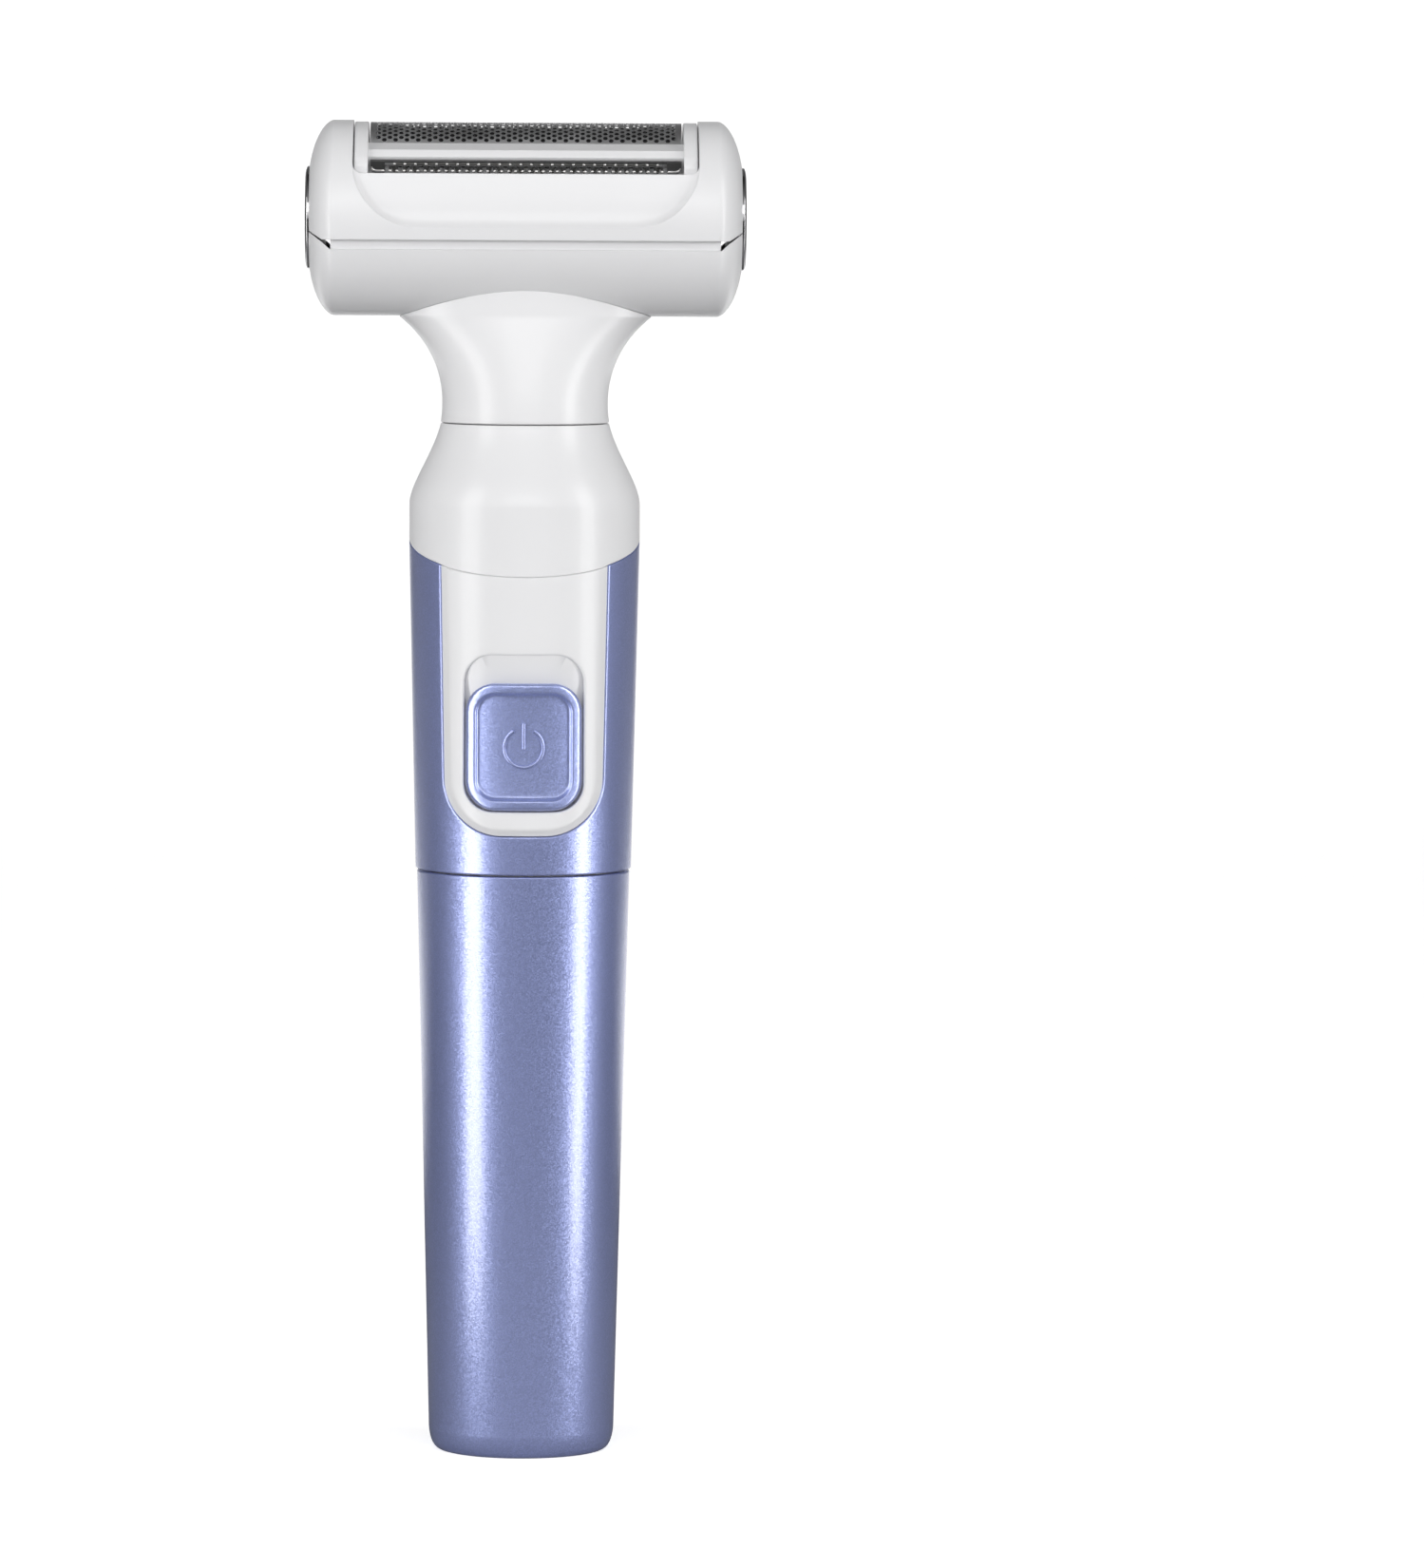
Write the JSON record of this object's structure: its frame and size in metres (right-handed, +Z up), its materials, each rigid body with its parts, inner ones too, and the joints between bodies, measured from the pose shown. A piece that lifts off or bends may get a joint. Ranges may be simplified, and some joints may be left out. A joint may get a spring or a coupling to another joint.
{
  "type": "cordless foil body shaver",
  "caption": "Round tapered handle with a slide power button, flared neck and a T-shaped head carrying a floating perforated foil between long-hair trimmers.",
  "frame": {"origin": "centre of the flat face that the shaver stands on, at the bottom of the battery sleeve", "axes": "+Z up along the handle, X along the cutting head, -Y the side with the power button"},
  "size_m": [0.0574, 0.0309, 0.1738],
  "materials": {
    "blue_paint": "satin metallic lavender blue",
    "white_gloss": "glossy white",
    "chrome_disc": "polished",
    "foil_steel": "etched foil",
    "dark_steel": "dark ground steel",
    "blade_steel": "ground",
    "motor_steel": "zinc plated",
    "screw_steel": "plated",
    "spring_steel": "bright wire",
    "ivory_plastic": "natural moulding",
    "dark_plastic": "matt black",
    "board": "green laminate",
    "contact_brass": "plated",
    "bush_bronze": "sintered",
    "rubber_seal": "matt",
    "cell_wrap": "printed sleeve without print"
  },
  "bodies": {
    "handle": {"chassis": "ivory_plastic", "seal_ring": "rubber_seal", "battery_cell": "cell_wrap", "battery_spring": "spring_steel", "top_contact": "contact_brass", "return_strip": "contact_brass", "body_shell": "blue_paint", "switch_panel": "white_gloss", "switch_board": "board", "motor_can": "motor_steel", "motor_endcap": "dark_plastic", "motor_screws": "screw_steel", "shaft_bush": "bush_bronze", "collar": "white_gloss"},
    "sleeve": {"battery_sleeve": "blue_paint"},
    "switch": {"power_button": "blue_paint", "switch_slider": "dark_plastic", "switch_wiper": "contact_brass"},
    "rotor": {"motor_shaft": "motor_steel", "drive_sleeve": "ivory_plastic"},
    "head": {"neck": "white_gloss", "neck_seal": "rubber_seal", "neck_screws": "screw_steel", "head_base": "white_gloss", "guide_rods": "screw_steel"},
    "bridge": {"drive_bridge": "ivory_plastic", "cutter_springs": "spring_steel"},
    "cutter": {"cutter_carrier": "dark_plastic", "cutter_blades": "blade_steel"},
    "frame": {"foil_frame": "white_gloss"},
    "cassette": {"cassette": "white_gloss", "foil": "foil_steel", "front_comb": "dark_steel", "rear_comb": "dark_steel"},
    "trimmers": {"front_trimmer": "blade_steel", "rear_trimmer": "blade_steel"},
    "release_left": {"disc_left": "chrome_disc", "latch_left": "ivory_plastic"},
    "release_right": {"disc_right": "chrome_disc", "latch_right": "ivory_plastic"}
  },
  "joints": [
    {"name": "power_slide", "type": "slide", "parent": "handle", "child": "switch", "axis": [0, 0, 1], "range_m": [0, 0.003]},
    {"name": "sleeve_pull", "type": "slide", "parent": "handle", "child": "sleeve", "axis": [0, 0, -1], "range_m": [0, 0.08]},
    {"name": "motor_spin", "type": "hinge", "parent": "handle", "child": "rotor", "pos_m": [0, 0, 0.1], "axis": [0, 0, 1], "continuous": true},
    {"name": "head_lift", "type": "slide", "parent": "handle", "child": "head", "axis": [0, 0, 1], "range_m": [0, 0.035]},
    {"name": "cutter_slide", "type": "slide", "parent": "head", "child": "bridge", "axis": [1, 0, 0], "range_m": [-0.0009, 0.0009]},
    {"name": "cutter_float", "type": "slide", "parent": "bridge", "child": "cutter", "axis": [0, 0, -1], "range_m": [0, 0.0008], "deforming": ["cutter_springs"]},
    {"name": "frame_lift", "type": "slide", "parent": "head", "child": "frame", "axis": [0, 0, 1], "range_m": [0, 0.03]},
    {"name": "foil_float", "type": "slide", "parent": "frame", "child": "cassette", "axis": [0, 0, -1], "range_m": [0, 0.0008]},
    {"name": "trimmer_slide", "type": "slide", "parent": "cassette", "child": "trimmers", "axis": [1, 0, 0], "range_m": [-0.0009, 0.0009]},
    {"name": "release_left_press", "type": "slide", "parent": "frame", "child": "release_left", "axis": [1, 0, 0], "range_m": [0, 0.0007]},
    {"name": "release_right_press", "type": "slide", "parent": "frame", "child": "release_right", "axis": [-1, 0, 0], "range_m": [0, 0.0007]}
  ],
  "couplings": [
    {"joint": "cutter_float", "follows": "foil_float", "ratio": 1},
    {"joint": "trimmer_slide", "follows": "cutter_slide", "ratio": 1}
  ]
}
